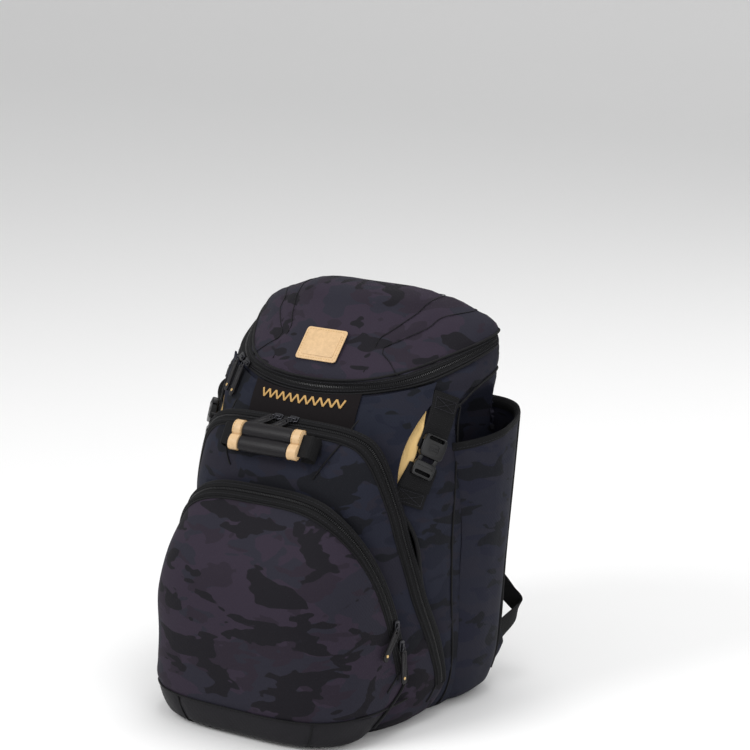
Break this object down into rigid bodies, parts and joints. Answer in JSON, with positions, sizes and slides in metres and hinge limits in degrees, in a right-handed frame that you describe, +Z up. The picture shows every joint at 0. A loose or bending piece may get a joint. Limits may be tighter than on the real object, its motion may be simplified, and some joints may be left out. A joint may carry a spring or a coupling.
{
  "type": "baseball bat backpack",
  "caption": "Large padded gear backpack with a zipped lid, a stepped front compartment and pocket, open bat sleeves on both sides, buckled straps and shoulder straps.",
  "frame": {"origin": "middle of the overall bounding box's footprint, on the floor the bag stands on", "axes": "+X to the right of a person who looks at the bag's front, -Y out of the front, +Z up"},
  "size_m": [0.4116, 0.412, 0.49],
  "materials": {
    "mauve_camo": "woven, matt",
    "navy_camo": "woven, matt",
    "black_cloth": "woven webbing, tape and padding",
    "black_leather": "smooth",
    "gold_trim": "smooth, light",
    "gold_lining": "satin",
    "black_plastic": "moulded",
    "dark_metal": "satin"
  },
  "bodies": {
    "root": {"pack_body": "navy_camo", "lid": "mauve_camo", "lid_zipper": "black_cloth", "front_panel": "navy_camo", "name_panel": "black_leather", "lining_right": "gold_lining", "lining_left": "gold_lining", "front_compartment": "navy_camo", "compartment_zipper": "black_cloth", "front_pocket": "mauve_camo", "base_boot": "black_cloth", "pocket_zipper": "black_cloth", "sleeve_right": "navy_camo", "sleeve_left": "navy_camo", "sleeve_binding_right": "black_cloth", "sleeve_binding_left": "black_cloth", "badge": "gold_trim", "strap_upper_right": "black_cloth", "strap_upper_left": "black_cloth", "strap_lower_right": "black_cloth", "strap_lower_left": "black_cloth", "buckle_socket_right": "black_plastic", "buckle_socket_left": "black_plastic", "buckle_plug_right": "black_plastic", "buckle_plug_left": "black_plastic", "handle_grip": "black_leather", "grip_wrap_right": "gold_trim", "grip_wrap_left": "gold_trim", "handle_strap": "black_cloth", "back_pad": "black_cloth", "shoulder_strap_right": "black_cloth", "shoulder_strap_left": "black_cloth", "shoulder_webbing_right": "black_cloth", "shoulder_webbing_left": "black_cloth", "strap_wing_right": "navy_camo", "strap_wing_left": "navy_camo", "ladder_lock_right": "black_plastic", "ladder_lock_left": "black_plastic", "haul_loop": "black_cloth", "slider_lid_1": "dark_metal", "pull_lid_1": "black_leather", "slider_lid_2": "dark_metal", "pull_lid_2": "black_leather", "slider_compartment_1": "dark_metal", "pull_compartment_1": "black_leather", "slider_compartment_2": "dark_metal", "pull_compartment_2": "black_leather", "slider_pocket_1": "dark_metal", "pull_pocket_1": "black_leather", "slider_pocket_2": "dark_metal", "pull_pocket_2": "black_leather"}
  },
  "joints": []
}
